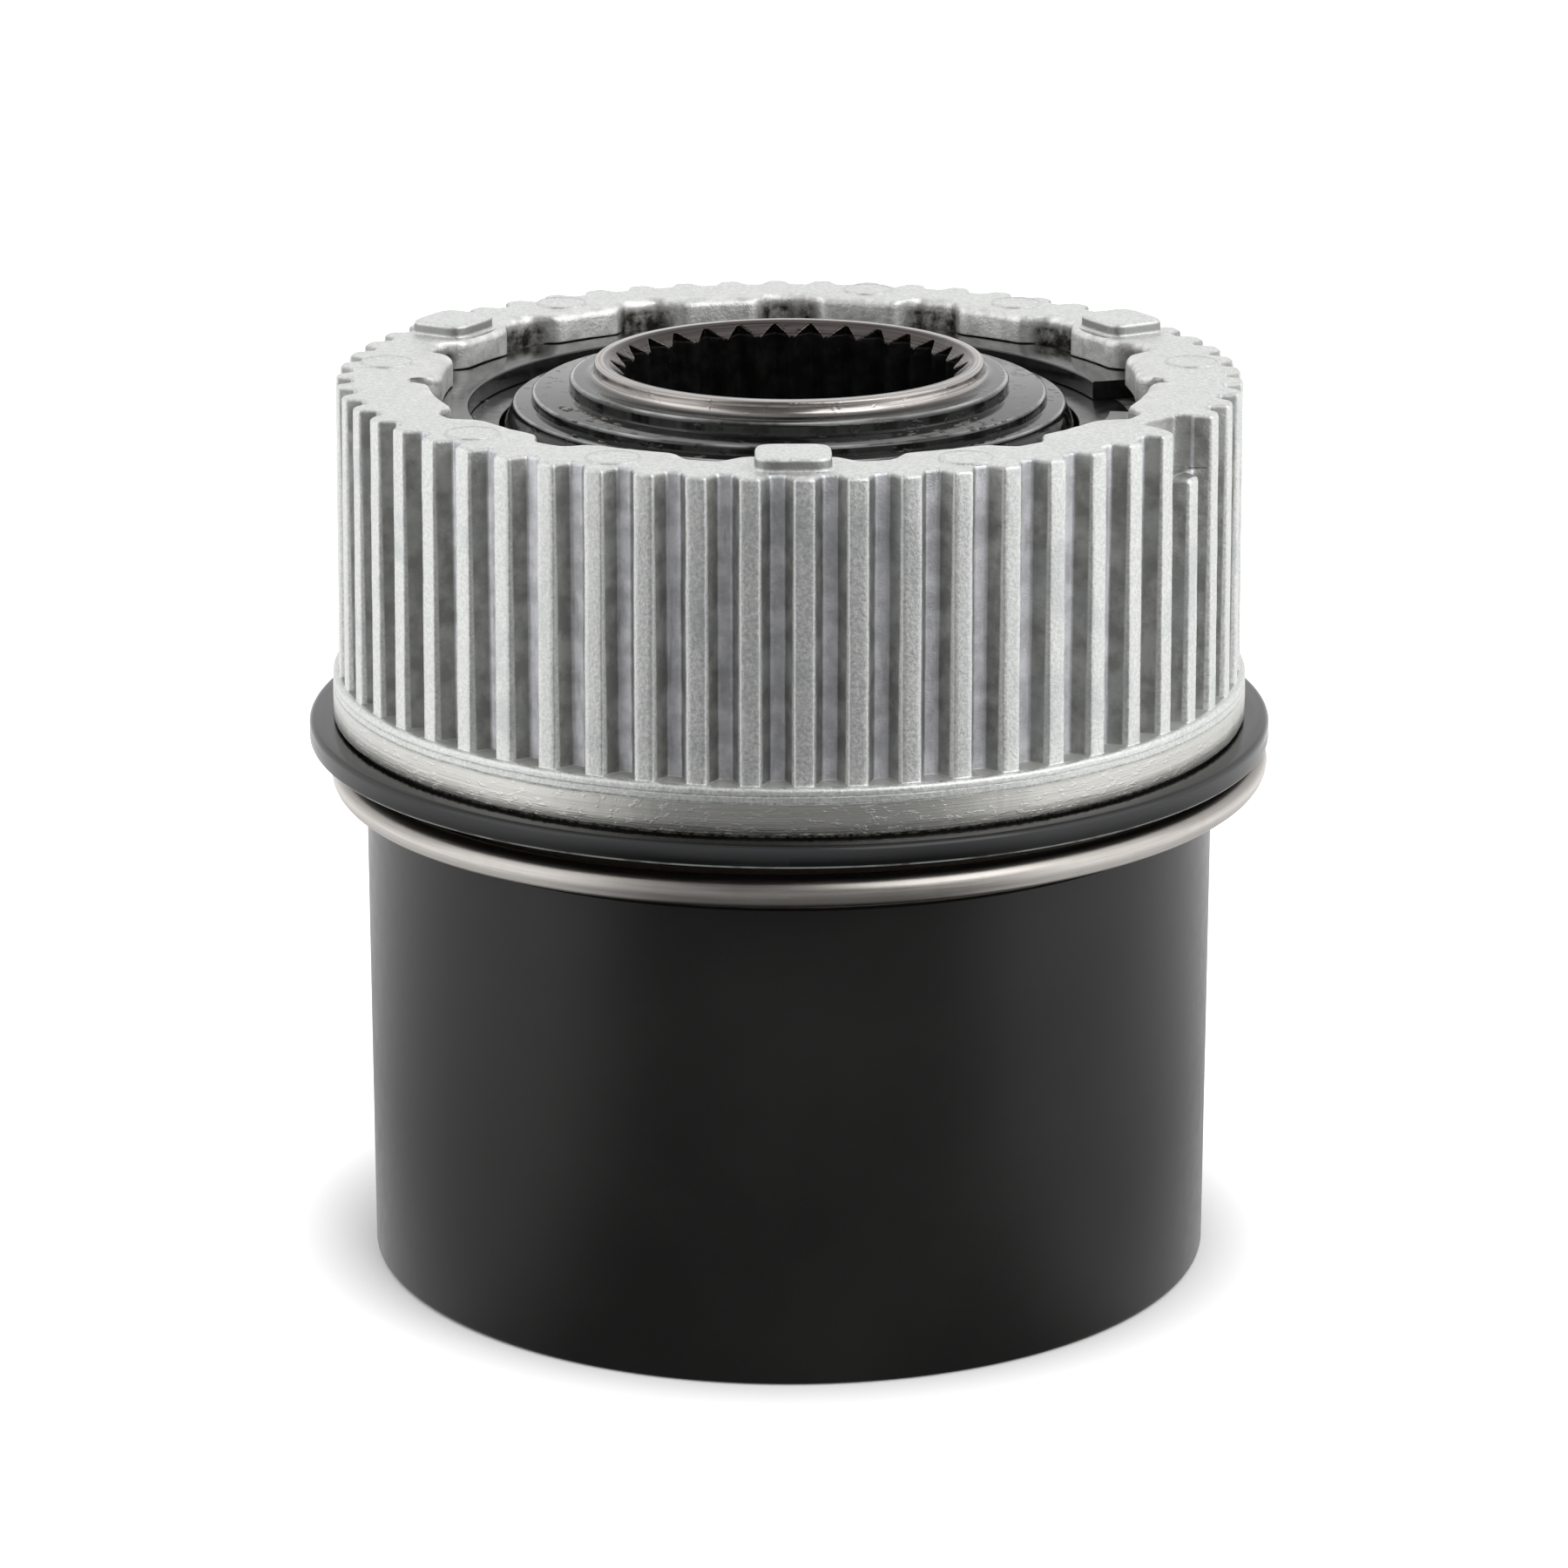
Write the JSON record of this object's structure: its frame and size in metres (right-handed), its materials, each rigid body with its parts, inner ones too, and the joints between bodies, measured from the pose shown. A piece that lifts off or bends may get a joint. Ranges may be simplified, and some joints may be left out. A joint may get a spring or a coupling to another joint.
{
  "type": "automatic locking hub",
  "caption": "Cylindrical automatic locking hub: splined die-cast body over a plain black cap, with a splined drive gear on a ball bearing and a piston-moved clutch ring inside.",
  "frame": {"origin": "centre of the cap's flat outer face, which the hub stands on", "axes": "+Z along the wheel's axis, inboard, out of the drive gear's bore; -Y points at the front raised tab; +X completes the right-handed frame"},
  "size_m": [0.0902, 0.0902, 0.086],
  "materials": {
    "die_cast": "as-cast, matte, fine speckle",
    "cap_black": "satin black",
    "seal_rubber": "oiled, glossy",
    "wire_steel": "drawn wire, satin",
    "black_steel": "black oxide",
    "plate_black": "black oxide, oiled",
    "bearing_steel": "ground",
    "cage_plastic": "moulded",
    "drive_gear_steel": "black oxide with a ground neck",
    "washer_bronze": "turned",
    "clutch_steel": "sintered",
    "piston_aluminium": "turned",
    "spring_steel": "drawn wire",
    "diaphragm_rubber": "moulded"
  },
  "bodies": {
    "hub": {"hub_body": "die_cast", "cap": "cap_black", "outer_seal_ring": "seal_rubber", "retaining_wire_ring": "wire_steel", "cap_seal_ring": "seal_rubber", "bearing_snap_ring": "black_steel", "bearing_plate": "plate_black", "bearing_outer_race": "bearing_steel", "diaphragm": "diaphragm_rubber", "diaphragm_clamp_ring": "bearing_steel"},
    "drive_gear": {"drive_gear": "drive_gear_steel", "bearing_inner_race": "bearing_steel", "drive_gear_clip": "black_steel", "thrust_washer": "washer_bronze", "spring_seat": "black_steel"},
    "bearing_cage": {"bearing_cage": "cage_plastic", "bearing_balls": "bearing_steel"},
    "clutch_ring": {"clutch_ring": "clutch_steel"},
    "piston": {"piston": "piston_aluminium", "clutch_retainer": "black_steel", "return_spring": "spring_steel", "diaphragm_plate": "bearing_steel", "piston_screw": "bearing_steel"}
  },
  "joints": [
    {"name": "drive_gear_spin", "type": "hinge", "parent": "hub", "child": "drive_gear", "pos_m": [0, 0, 0.075], "axis": [0, 0, 1], "continuous": true},
    {"name": "bearing_cage_spin", "type": "hinge", "parent": "hub", "child": "bearing_cage", "pos_m": [0, 0, 0.075], "axis": [0, 0, 1], "continuous": true},
    {"name": "piston_slide", "type": "slide", "parent": "hub", "child": "piston", "axis": [0, 0, 1], "range_m": [0, 0.009], "stiffness_N_per_m": 1500, "springref_m": -0.01, "deforming": ["return_spring", "diaphragm"]},
    {"name": "clutch_ring_slide", "type": "slide", "parent": "drive_gear", "child": "clutch_ring", "axis": [0, 0, 1], "range_m": [0, 0.009]}
  ],
  "couplings": [
    {"joint": "bearing_cage_spin", "follows": "drive_gear_spin", "ratio": 0.4573},
    {"joint": "clutch_ring_slide", "follows": "piston_slide", "ratio": 1}
  ]
}
